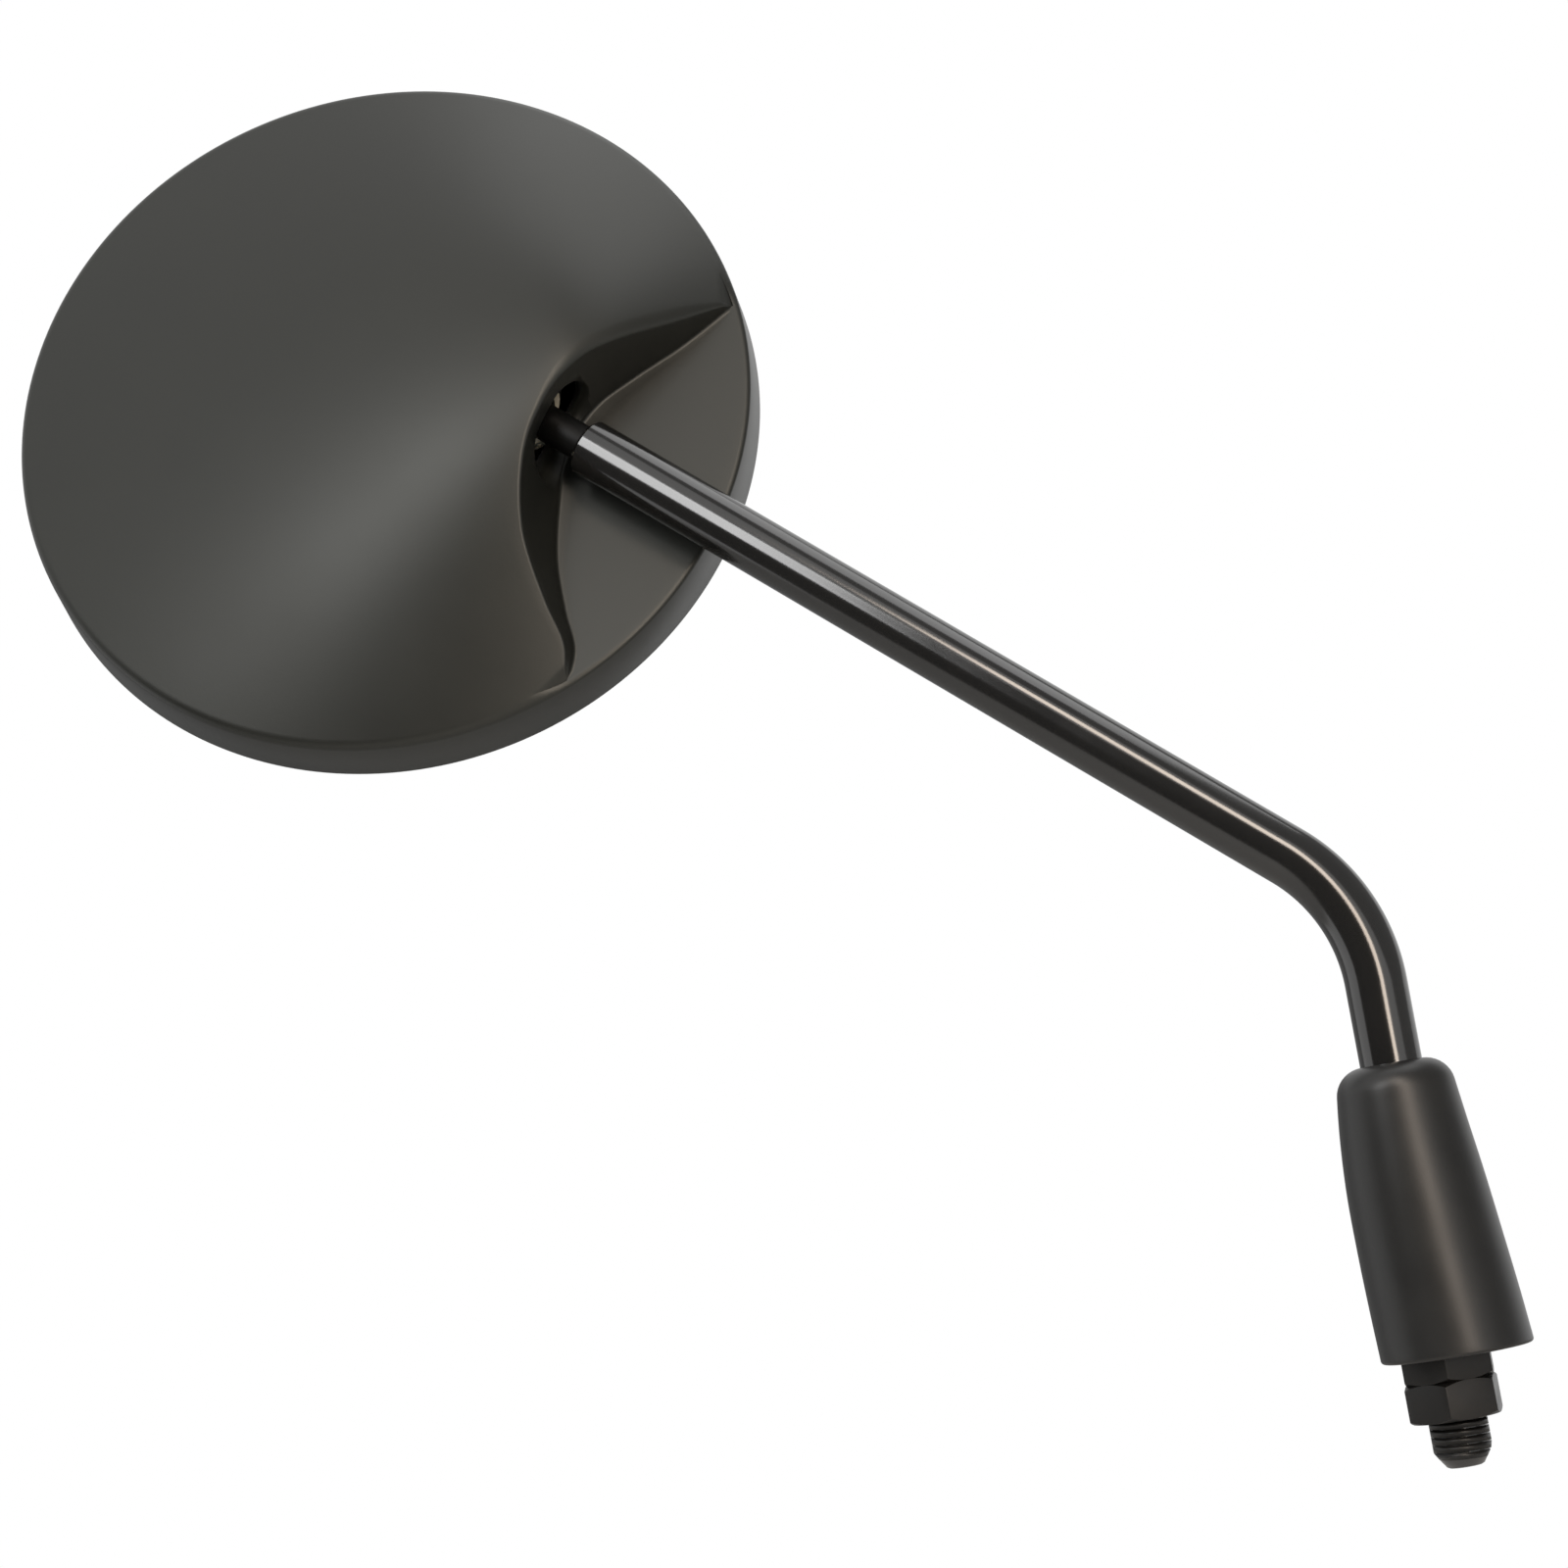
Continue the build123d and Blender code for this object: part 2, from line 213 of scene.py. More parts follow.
stud_profile = (
    (stud_tip_radius - stud_edge, stud_foot),
    (stud_tip_radius, stud_foot + stud_edge / 2),
    (thread_root_radius, stud_foot + stud_root_share * stud_taper),
    (thread_root_radius, nut_stack - stud_edge),
    (rod_radius - stud_edge, nut_stack),
    (rod_radius, nut_stack + stud_edge),
)
stem_rings = [
    ring_at(upright * height, level, sideways, radius, rod_segments) for radius, height in stud_profile
]
for step in range(bend_steps + 1):
    turn = bend * step / bend_steps
    outward = Vector((math.cos(turn), 0, math.sin(turn)))
    bend_spot = bend_centre + outward * bend_radius
    stem_rings.append(ring_at(bend_spot, level, outward, rod_radius, rod_segments))
for setback, radius in (
    (rod_end_chamfer, rod_radius),
    (0, rod_radius - rod_end_chamfer),
    (0, shank_hole_radius),
    (shank_hole_depth, shank_hole_radius),
):
    stem_rings.append(ring_at(rod_end - rod_up * setback, level, rod_side, radius, rod_segments))

# Stoved black enamel over steel: a deep wet black, with the faint ripple that a
# sprayed and baked coat keeps, so that long reflections run a little uneven.
enamel, tree, place = start_material("stoved_black_enamel")
ripple = add_node(tree, "ShaderNodeTexNoise", {"Vector": place, "Scale": per_metre(6), "Detail": 1.0})
handling = add_node(tree, "ShaderNodeTexNoise", {"Vector": place, "Scale": per_metre(14), "Detail": 5.0})
coat = add_node(tree, "ShaderNodeBump", {"Height": ripple, "Strength": 0.05, "Distance": 0.05 * MM})
close_material(
    tree,
    tones=(handling, "#121211", "#1a1918"),
    roughness=(handling, 0.1, 0.18),
    Normal=coat,
    IOR=1.75,
)
stem = make_piece("bent_stem", *skin_rings(stem_rings), enamel)
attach(stem, "stem")
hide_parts("stem")

# The thread: rolled into the foot of the stem, a right-hand M10 by 1.25 that runs out
# on the tapered tip, and blackened with the nuts.
thread_pitch = 1.25 * MM
thread_ridge = 0.63 * MM
thread_run_in = 1.6 * MM
thread_from = stud_foot + thread_run_in
thread_to = 1.0 * MM
thread_segments = 64
ridge_sides = 3

# Black oxide on steel: a thin brown-black skin, oiled, a little lighter where tools and
# other parts have rubbed it.
oxide, tree, place = start_material("black_oxide_steel")
mottle = add_node(tree, "ShaderNodeTexNoise", {"Vector": place, "Scale": per_metre(3), "Detail": 6.0})
scratch = add_node(tree, "ShaderNodeTexNoise", {"Vector": place, "Scale": per_metre(0.5), "Detail": 3.0})
wear = add_node(tree, "ShaderNodeBump", {"Height": scratch, "Strength": 0.15, "Distance": 0.05 * MM})
close_material(
    tree,
    tones=(mottle, "#0a0a09", "#161412"),
    roughness=(mottle, 0.25, 0.5),
    Normal=wear,
    Specular_IOR_Level=0.37,
)

thread_tree = bpy.data.node_groups.new("rolled_thread", "GeometryNodeTree")
thread_sizes = {
    "Pitch": thread_pitch,
    "Foot": thread_from,
    "Length": thread_to - thread_from,
    "Crest Radius": rod_radius,
    "Ridge": thread_ridge,
    "Tip Radius": stud_tip_radius,
    "Tip Height": stud_foot,
    "Taper": stud_taper,
}
for label in thread_sizes:
    thread_tree.interface.new_socket(label, in_out="INPUT", socket_type="NodeSocketFloat")
thread_tree.interface.new_socket("Thread", in_out="OUTPUT", socket_type="NodeSocketGeometry")
size = add_node(thread_tree, "NodeGroupInput").node.outputs

helix_radius = add_node(
    thread_tree, "ShaderNodeMath", (size["Crest Radius"], size["Ridge"]), operation="SUBTRACT"
)
coils = add_node(thread_tree, "ShaderNodeMath", (size["Length"], size["Pitch"]), operation="DIVIDE")
helix = add_node(
    thread_tree,
    "GeometryNodeCurveSpiral",
    {
        "Resolution": thread_segments,
        "Rotations": coils,
        "Start Radius": helix_radius,
        "End Radius": helix_radius,
        "Height": size["Length"],
    },
)
helix = add_node(thread_tree, "GeometryNodeSetCurveNormal", {"Curve": helix}, mode="Z_UP")
ridge = add_node(
    thread_tree,
    "GeometryNodeCurvePrimitiveCircle",
    {"Resolution": ridge_sides, "Radius": size["Ridge"]},
)
coil = add_node(
    thread_tree,
    "GeometryNodeCurveToMesh",
    {"Curve": helix, "Profile Curve": ridge, "Fill Caps": True},
)
lift = add_node(thread_tree, "ShaderNodeCombineXYZ", {"Z": size["Foot"]})
coil = add_node(thread_tree, "GeometryNodeTransform", {"Geometry": coil, "Translation": lift})

# The tip's cone cuts the ridge down: each point comes in to the cone's radius at its height.
spot = add_node(thread_tree, "GeometryNodeInputPosition")
x, y, z = add_node(thread_tree, "ShaderNodeSeparateXYZ", {"Vector": spot}).node.outputs
flat = add_node(thread_tree, "ShaderNodeCombineXYZ", {"X": x, "Y": y})
from_axis = add_node(thread_tree, "ShaderNodeVectorMath", (flat,), operation="LENGTH")
taper_top = add_node(
    thread_tree, "ShaderNodeMath", (size["Tip Height"], size["Taper"]), operation="ADD"
)
cone_radius = add_node(
    thread_tree,
    "ShaderNodeMapRange",
    {
        "Value": z,
        "From Min": size["Tip Height"],
        "From Max": taper_top,
        "To Min": size["Tip Radius"],
        "To Max": size["Crest Radius"],
    },
    clamp=False,
)
kept = add_node(thread_tree, "ShaderNodeMath", (from_axis, cone_radius), operation="MINIMUM")
trim = add_node(thread_tree, "ShaderNodeMath", (kept, from_axis), operation="DIVIDE")
squeeze = add_node(thread_tree, "ShaderNodeCombineXYZ", {"X": trim, "Y": trim, "Z": 1.0})
trimmed = add_node(thread_tree, "ShaderNodeVectorMath", (spot, squeeze), operation="MULTIPLY")
coil = add_node(thread_tree, "GeometryNodeSetPosition", {"Geometry": coil, "Position": trimmed})
coil = add_node(thread_tree, "GeometryNodeRealizeInstances", {"Geometry": coil})
coil = add_node(thread_tree, "GeometryNodeSetMaterial", {"Geometry": coil, "Material": oxide})
add_node(thread_tree, "NodeGroupOutput", {"Thread": coil})


def plain_mesh(carrier):
    """What an object's modifiers make of it, as a mesh of its own."""
    evaluated = carrier.evaluated_get(bpy.context.evaluated_depsgraph_get())
    return bpy.data.meshes.new_from_object(evaluated)


def grow_mesh(name, tree, sizes):
    """Runs a Geometry Nodes tree with these sizes and returns what it makes as a plain mesh."""
    carrier = add_object(name, bpy.data.meshes.new(name))
    modifier = carrier.modifiers.new(name, "NODES")
    modifier.node_group = tree
    for item in tree.interface.items_tree:
        if item.in_out == "INPUT":
            modifier[item.identifier] = sizes[item.name]
    mesh = plain_mesh(carrier)
    bpy.data.objects.remove(carrier)
    return mesh


thread_mesh = grow_mesh("rolled_thread", thread_tree, thread_sizes)
thread = add_object("rolled_thread", thread_mesh)
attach(thread, "stem")

# The lock nut and the jam nut: two cold-forged M10 half nuts, 14 mm across flats, jammed
# face to face on the thread and blackened; their edges are broken by tumbling.
nut_edge = 0.25 * MM
nut_edge_segments = 3
nut_crease_deg = 35
flat_deg = 1
sharp_deg = 22


def broken_edges(node, name, width, *materials):
    """A copy of a CAD node with its doubles merged and its sharp edges rounded."""
    shape = bmesh.new()
    shape.from_mesh(frame["nodes"][node].data)
    bmesh.ops.remove_doubles(shape, verts=shape.verts, dist=merge_distance)
    bmesh.ops.dissolve_limit(
        shape, angle_limit=math.radians(flat_deg), verts=shape.verts, edges=shape.edges
    )
    sharp = [
        edge
        for edge in shape.edges
        if len(edge.link_faces) == 2 and edge.calc_face_angle() > math.radians(sharp_deg)
    ]
    bmesh.ops.bevel(
        shape,
        geom=sharp,
        offset=width,
        segments=nut_edge_segments,
        profile=0.5,
        affect="EDGES",
        clamp_overlap=True,
    )
    return finish_piece(name, shape, materials, nut_crease_deg)


for node in ("lock_nut", "jam_nut"):
    nut = broken_edges(node, "forged_" + node, nut_edge, oxide)
    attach(nut, "stem")
    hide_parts(node)

# The boot: compression-moulded black rubber, hollow over the nuts, leaning a little as it
# drapes round them, and stretched over the rod so that it slides up by hand.
boot_segments = 96
boot_rows = 48
boot_hollow_rows = 12
boot_line_points = 400
boot_sections = (  # height, radius, lean
    (10.1, 12.2, 2.0),
    (18.0, 12.0, 1.5),
    (28.0, 11.6, 0.85),
    (38.0, 11.05, 0.3),
    (47.0, 10.2, 0.0),
    (57.1, 9.0, 0.0),
)
boot_wall = 1.4 * MM
boot_bore = 5.25 * MM
boot_grip_length = 11.1 * MM
boot_hollow_taper = 8.0 * MM
boot_top_round = 4.0 * MM
boot_foot_round = 0.6 * MM
round_steps = 10


def distance_along(points):
    """How far along a line each of its points lies."""
    return np.concatenate([[0], np.cumsum(np.linalg.norm(np.diff(points, axis=0), axis=1))])


def smooth_line(points, count):
    """Points spread evenly along a smooth line through the given ones."""
    points = np.array(points)
    at = distance_along(points)
    slope = np.gradient(points, at, axis=0)
    where = np.linspace(0, at[-1], count)
    i = np.clip(np.searchsorted(at, where, side="right") - 1, 0, len(at) - 2)
    span = (at[i + 1] - at[i])[:, None]
    x = (where - at[i])[:, None] / span
    return (
        (2 * x**3 - 3 * x**2 + 1) * points[i]
        + (x**3 - 2 * x**2 + x) * span * slope[i]
        + (3 * x**2 - 2 * x**3) * points[i + 1]
        + (x**3 - x**2) * span * slope[i + 1]
    )


boot_line = smooth_line(boot_sections, boot_line_points) * MM


def boot_ring(height, inset=0.0, radius=None):
    """A ring of the boot at a height: its outside less an inset, or a radius of its own."""
    outside = np.interp(height, boot_line[:, 0], boot_line[:, 1])
    lean = np.interp(height, boot_line[:, 0], boot_line[:, 2])
    centre = Vector((lean, 0, height))
    return ring_at(centre, sideways, level, radius or outside - inset, boot_segments)


boot_foot, boot_top = boot_line[0, 0], boot_line[-1, 0]
boot_grip = boot_top - boot_grip_length
boot_hollow_top = boot_grip - boot_hollow_taper
boot_shoulder = boot_top - boot_top_round
quarter = np.linspace(0, math.pi / 2, round_steps)
boot_rings = [
    boot_ring(boot_foot + boot_foot_round * (1 - math.sin(t)), boot_foot_round * (1 - math.cos(t)))
    for t in reversed(quarter)
]
side_heights = np.linspace(boot_foot + boot_foot_round, boot_shoulder, boot_rows)
boot_rings += [boot_ring(height) for height in side_heights[1:-1]]
boot_rings += [
    boot_ring(boot_shoulder + boot_top_round * math.sin(t), boot_top_round * (1 - math.cos(t)))
    for t in quarter[:-1]
]
boot_rings += [boot_ring(height, radius=boot_bore) for height in (boot_top, boot_grip)]
hollow_heights = np.linspace(boot_hollow_top, boot_foot, boot_hollow_rows)
boot_rings += [boot_ring(height, boot_wall) for height in hollow_heights]

# Moulded rubber: a satin grey-black that takes wide soft highlights, with the cloudy dull
# patches of bloom and handling.
rubber, tree, place = start_material("moulded_rubber")
bloom = add_node(tree, "ShaderNodeTexNoise", {"Vector": place, "Scale": per_metre(9), "Detail": 6.0})
grain = add_node(tree, "ShaderNodeTexNoise", {"Vector": place, "Scale": per_metre(0.45), "Detail": 2.0})
skin = add_node(tree, "ShaderNodeBump", {"Height": grain, "Strength": 0.1, "Distance": 0.04 * MM})
close_material(
    tree,
    tones=(bloom, "#121212", "#1d1d1c"),
    roughness=(bloom, 0.34, 0.44),
    Normal=skin,
    IOR=1.5,
)
boot = make_piece("rubber_sleeve", *skin_rings(boot_rings, loop=True), rubber)
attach(boot, "boot")
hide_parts("rubber_boot")

# The ball stud: turned from steel bar in one piece, a ball, a neck and a plain shank that
# is pressed into the drilled end of the rod; phosphated and greased.
ball_radius = 6.25 * MM
ball_rows = 40
pole_angle = 0.01  # radians left open at the ball's far pole, closed by a small flat
neck_radius = 3.25 * MM
neck_chamfer = 0.2 * MM
neck_gap = 0.1 * MM
shank_radius = 3.0 * MM
shank_length = 14.0 * MM
stud_segments = 64
across = Vector(joints["head_tilt"]["axis"]).normalized()
back = Vector(joints["head_swing"]["axis"]).normalized()
neck_meets_ball = math.asin(neck_radius / ball_radius)
neck_end = neck_length - neck_gap
ball_profile = [
    (ball_radius * math.sin(t), ball_radius * math.cos(t))
    for t in np.linspace(math.pi - pole_angle, neck_meets_ball, ball_rows)
]
ball_profile += [
    (neck_radius, neck_end - neck_chamfer),
    (neck_radius - neck_chamfer, neck_end),
    (shank_radius, neck_end),
    (shank_radius, neck_length + shank_length),
]
ball_rings = [
    ring_at(ball + along * distance, across, back, radius, stud_segments)
    for radius, distance in ball_profile
]

# Phosphated steel: a dark grey crystal coat, dull, wet with grease in patches, but drawn near
# black and with little shine as painted shade, for the shade deep in the slot where the ball sits;
# the crystals are drawn much coarser than they are so that the render shows them.
phosphate, tree, place = start_material("phosphated_steel_painted_shade")
crystal = add_node(tree, "ShaderNodeTexNoise", {"Vector": place, "Scale": per_metre(0.3), "Detail": 4.0})
grease = add_node(tree, "ShaderNodeTexNoise", {"Vector": place, "Scale": per_metre(5), "Detail": 2.0})
crust = add_node(tree, "ShaderNodeBump", {"Height": crystal, "Strength": 0.2, "Distance": 0.02 * MM})
# The tones are painted shade: near black, darker than the grey coat, so that the ball and neck stay black in the
# slot.
close_material(
    tree,
    tones=(crystal, "#060606", "#0e0e0d"),
    roughness=(grease, 0.3, 0.6),
    Normal=crust,
    Specular_IOR_Level=0.18,
)
stud = make_piece("turned_ball_stud", *skin_rings(ball_rings), phosphate)
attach(stud, "ball")
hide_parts("ball_stud")

# The liner: a thin slit shell moulded in natural nylon, sprung over the ball so that the
# head turns stiffly and without rattle.


def dress(node, material):
    """Gives a CAD node, whose shape stays, the material of the real piece."""
    for slot in frame["nodes"][node].material_slots:
        slot.material = material


# Natural nylon: a waxy off-white that lets a little light in, so that its edges look soft.
nylon, tree, place = start_material("natural_nylon")
waxy = add_node(tree, "ShaderNodeTexNoise", {"Vector": place, "Scale": per_metre(2), "Detail": 3.0})
close_material(
    tree,
    tones=(waxy, "#b9b4a2", "#d2cdbb"),
    roughness=(waxy, 0.35, 0.5),
    Subsurface_Weight=0.2,
    Subsurface_Radius=(0.6 * MM, 0.5 * MM, 0.4 * MM),
)
dress("ball_liner", nylon)

# The housing: one injection-moulded shell in grained black plastic, a round dish whose back
# is a blunted cone with its crown off centre, over the ball. A scoop is cut into the back,
# open at the rim, so that the rod lies close to the head.
rim_radius = 66.7 * MM
band_top_radius = 66.25 * MM
band_top_height = 9.2 * MM
cone_edge_radius = 64.85 * MM
cone_edge_height = 11.0 * MM
crown_u, crown_v = 28.2 * MM, 17.0 * MM
crown_height = 28.2 * MM
crown_blend = 0.478  # how blunt the crown is; at 0 the cone would end in a point
floor_height = 10.0 * MM
floor_edge_radius = 65.2 * MM
shell_wall = 2.4 * MM
slope_thickening = 1.08  # a wall measured upright is this much thicker than square to the slope
recess_radius = 64.2 * MM
cavity_radius = 60.6 * MM
ledge = 6.1 * MM
front_edge = 0.4 * MM
front_round = 0.3  # of the front edge, where the middle of its round lies
ball_u, ball_v, ball_w = 24.7 * MM, 10.8 * MM, 17.4 * MM  # along, across and out of the head
scoop_offsets = (  # along and across the head, from the ball
    (21.0, 55.2),
    (17.0, 37.8),
    (14.2, 27.4),
    (10.6, 17.7),
    (8.3, 10.2),
    (8.2, 4.2),
    (10.0, -2.3),
    (14.2, -9.8),
    (20.6, -19.0),
    (27.6, -26.0),
    (33.2, -31.0),
    (35.6, -36.4),
    (37.0, -46.8),
)
scoop_line_points = 4000
slot_width = 19.0 * MM
slot_height = 13.0 * MM
slot_start = 3.2 * MM
slot_reach = 22.0 * MM
slot_segments = 64
scoop_columns = 180
cone_rows = 44
cone_row_spread = 1.4  # above 1, the rows crowd towards the rim
lip_rows = 9
wall_rows = 6
cove_rows = 6
floor_rows = 14
rim_rows = 8
cove_radius = 0.6 * MM
tip_fade = 7.0 * MM  # along the rim, from each tip of the scoop
fade_start = 0.86  # of the cone's edge radius, where its edge begins to fade to the scoop's tips
slope_step = 1.0 * MM  # the reach over which the slope at the cone's edge is taken
bow_gap = 0.02 * MM  # how far inside the band the bow of the rim has its middle point
housing_crease_deg = 40
mouth_section = (  # across the head: how far the wall leans back, the lip's reach and drop
    (-26.0, 0.0, 0.4, 0.3),
    (-20.0, 1.4, 0.5, 0.4),
    (-10.0, 3.2, 0.6, 0.5),
    (2.0, 3.4, 0.7, 0.5),
    (11.0, 1.6, 1.0, 0.7),
    (18.0, 0.7, 1.8, 1.0),
    (28.0, 0.8, 2.4, 1.4),
    (42.0, 0.6, 2.0, 1.2),
    (50.0, 0.0, 0.4, 0.3),
)
mouth_line_points = 400
lean_limit = 0.3  # this and the next three are shares of the wall's height
lip_limit = 0.7
lip_drop_limit = 0.5
cove_limit = 0.4

head_centre = ball - along * ball_u - across * ball_v - back * ball_w


def on_head(points):
    """Points given along, across and out of the back of the head, in the frame."""
    axes = np.array([along, across, back])
    return np.asarray(points) @ axes + np.array(head_centre)


def slope_height(plan):
    """Height of the moulded back, a blunted cone whose crown stands off centre over the ball."""
    crown = np.array([crown_u, crown_v])
    from_crown = plan - crown
    inward = from_crown @ crown
    spread = cone_edge_radius**2 - crown @ crown
    # How far each point lies from the crown, as a share of the way to the round edge.
    share = (inward + np.sqrt(inward**2 + spread * np.sum(from_crown**2, axis=1))) / spread
    fall = (np.hypot(share, crown_blend) - crown_blend) / (math.hypot(1, crown_blend) - crown_blend)
    return crown_height - (crown_height - cone_edge_height) * fall


def ease(share):
    """A smooth step from 0 to 1."""
    share = np.clip(share, 0, 1)
    return share * share * (3 - 2 * share)


def trimmed_line(line, radius):
    """The part of a line inside a radius, as evenly spaced columns that end on it."""
    inside = line[np.hypot(*line.T) <= radius]
    for end in (0, -1):
        inside[end] *= radius / np.hypot(*inside[end])
    at = distance_along(inside)
    even = np.linspace(0, at[-1], scoop_columns)
    return np.column_stack([np.interp(even, at, inside[:, k]) for k in (0, 1)])


def arc_columns(line, radius, cone_side):
    """Columns on a circle from one end of a line to the other, round the cone or the scoop."""
    start, end = (math.atan2(line[k][1], line[k][0]) for k in (0, -1))
    sweep = end - start + (2 * math.pi if cone_side else 0)
    turns = start + sweep * np.linspace(0, 1, scoop_columns)
    return radius * np.column_stack([np.cos(turns), np.sin(turns)])


def lines_normal(line):
    """The direction from each column of the scoop's wall into the cone."""
    step = np.gradient(line, axis=0)
    step /= np.linalg.norm(step, axis=1)[:, None]
    return np.column_stack([step[:, 1], -step[:, 0]])


def raised(plan, heights):
    """Columns of a plan, each at a height of its own or all at one."""
    return np.column_stack([plan, np.broadcast_to(heights, len(plan))])


scoop_line = smooth_line(scoop_offsets, scoop_line_points) * MM + np.array([ball_u, ball_v])
wall = trimmed_line(scoop_line, floor_edge_radius)
wall_normal = lines_normal(wall)
cone_arc = arc_columns(wall, 1.0, True)
floor_arc = arc_columns(wall, 1.0, False)
columns_from_tip = np.minimum(np.arange(scoop_columns), np.arange(scoop_columns)[::-1])
column_width = np.linalg.norm(cone_arc[1] - cone_arc[0]) * cone_edge_radius
edge_share = ease(columns_from_tip * column_width / tip_fade)
edge_radius = floor_edge_radius + (cone_edge_radius - floor_edge_radius) * edge_share
edge_height = floor_height + (cone_edge_height - floor_height) * edge_share


def into_cone(distance):
    """The columns of the scoop's wall, moved into the cone by a distance of their own."""
    return wall + wall_normal * distance[:, None]


def back_height(plan):
    """Height of the moulded back at each column, faded to the floor at the scoop's tips."""
    share = np.hypot(*plan.T) / cone_edge_radius
    fade = ease((share - fade_start) / (1 - fade_start))
    return slope_height(plan) + fade * (edge_height - cone_edge_height)


mouth_line = smooth_line(mouth_section, mouth_line_points) * MM
lean, lip, lip_drop = (
    np.interp(wall[:, 1], mouth_line[:, 0], mouth_line[:, k]) for k in (1, 2, 3)
)
wall_height = np.maximum(back_height(wall) - floor_height, 0)
lean = np.minimum(lean, lean_limit * wall_height)
lip = np.minimum(lip, lip_limit * wall_height)
lip_drop = np.minimum(lip_drop, lip_drop_limit * wall_height)
cove = np.minimum(cove_radius, cove_limit * wall_height)

cone_sheet = []
for turn in np.linspace(math.pi / 2, 0, lip_rows):
    plan = into_cone(lean + lip * (1 - math.sin(turn)))
    cone_sheet.append(raised(plan, back_height(plan) - lip_drop * (1 - math.cos(turn))))
lip_plan = into_cone(lean + lip)
edge_plan = cone_arc * edge_radius[:, None]
for share in 1 - (1 - np.linspace(0, 1, cone_rows)[1:]) ** cone_row_spread:
    plan = lip_plan + (edge_plan - lip_plan) * share
    cone_sheet.append(raised(plan, back_height(plan)))

wall_top = back_height(into_cone(lean)) - lip_drop
wall_foot = floor_height + cove
scoop_sheet = [
    raised(into_cone(lean * share), wall_foot + (wall_top - wall_foot) * share)
    for share in np.linspace(1, 0, wall_rows)
]
for turn in np.linspace(0, math.pi / 2, cove_rows)[1:]:
    plan = into_cone(-cove * (1 - math.cos(turn)))
    scoop_sheet.append(raised(plan, floor_height + cove * (1 - math.sin(turn))))
foot_plan = into_cone(-cove)
floor_edge_plan = floor_arc * floor_edge_radius
for share in np.linspace(0, 1, floor_rows)[1:]:
    scoop_sheet.append(raised(foot_plan + (floor_edge_plan - foot_plan) * share, floor_height))

# The rim's soft outer edge bows from the slope of the back, or from the scoop's floor, to the
# upright band, and its profile then runs round the front edge into the recess for the glass.
inner_edge_plan = cone_arc * (edge_radius - slope_step)[:, None]
edge_slope = edge_share * (slope_height(inner_edge_plan) - slope_height(edge_plan)) / slope_step
rim_turns, start_radius, start_height, start_slope = (
    np.concatenate([round_cone, round_scoop])
    for round_cone, round_scoop in (
        (cone_arc, floor_arc[::-1][1:-1]),
        (edge_radius, np.full(scoop_columns - 2, floor_edge_radius)),
        (edge_height, np.full(scoop_columns - 2, floor_height)),
        (edge_slope, np.zeros(scoop_columns - 2)),
    )
)
bow_radius = band_top_radius - bow_gap
bow_height = start_height - (bow_radius - start_radius) * start_slope
rim_profile = []
for share in np.linspace(0, 1, rim_rows):
    start, middle, end = (1 - share) ** 2, 2 * share * (1 - share), share**2
    rim_profile.append(
        (
            start * start_radius + middle * bow_radius + end * band_top_radius,
            start * start_height + middle * bow_height + end * band_top_height,
        )
    )
under_floor = floor_height - shell_wall
rim_profile += [
    (rim_radius, front_edge),
    (rim_radius - front_round * front_edge, front_round * front_edge),
    (rim_radius - front_edge, 0),
    (recess_radius + front_edge, 0),
    (recess_radius, front_edge),
    (recess_radius, ledge),
    (cavity_radius, ledge),
    (cavity_radius, under_floor),
]
rim_sheet = [raised(rim_turns * np.reshape(radius, (-1, 1)), height) for radius, height in rim_profile]


def cavity_height(plan):
    """Height of the shell's inside under the cone."""
    return slope_height(plan) - slope_thickening * shell_wall


inner_lean = np.interp(scoop_line[:, 1], mouth_line[:, 0], mouth_line[:, 1])
inner_line = scoop_line + lines_normal(scoop_line) * (shell_wall + inner_lean)[:, None]
inner_wall = trimmed_line(inner_line, cavity_radius)
inner_cone_plan = arc_columns(inner_wall, cavity_radius, True)
inner_floor_plan = arc_columns(inner_wall, cavity_radius, False)
inner_sheet = []
for share in np.linspace(0, 1, cone_rows // 2):
    plan = inner_wall + (inner_cone_plan - inner_wall) * share
    inner_sheet.append(raised(plan, cavity_height(plan)))
inner_wall_sheet, inner_rim_sheet = (
    [
        raised(plan, under_floor + (cavity_height(plan) - under_floor) * share)
        for share in np.linspace(1, 0, wall_rows)
    ]
    for plan in (inner_wall, inner_cone_plan)
)
inner_floor_sheet = [
    raised(inner_wall + (inner_floor_plan - inner_wall) * share, under_floor)
    for share in np.linspace(0, 1, floor_rows)
]
# The rim's two innermost rows take the cavity's own columns, so that the sheets meet.
inner_turns = np.concatenate([inner_cone_plan, inner_floor_plan[::-1][1:-1]])
for row in (-1, -2):
    rim_sheet[row][:, :2] = inner_turns

# Each sheet is a grid of rows and columns, and the rim's closes on itself all round the head.
housing_points, housing_faces = [], []
for sheet, around in (
    (cone_sheet, False),
    (scoop_sheet, False),
    (rim_sheet, True),
    (inner_sheet, False),
    (inner_wall_sheet, False),
    (inner_rim_sheet, False),
    (inner_floor_sheet, False),
):
    first, count = len(housing_points), len(sheet[0])
    for row in sheet:
        housing_points += [tuple(point) for point in on_head(row)]
    for row in range(len(sheet) - 1):
        low, high = first + row * count, first + (row + 1) * count
        for i in range(count if around else count - 1):
            j = (i + 1) % count
            housing_faces.append((low + i, low + j, high + j, high + i))

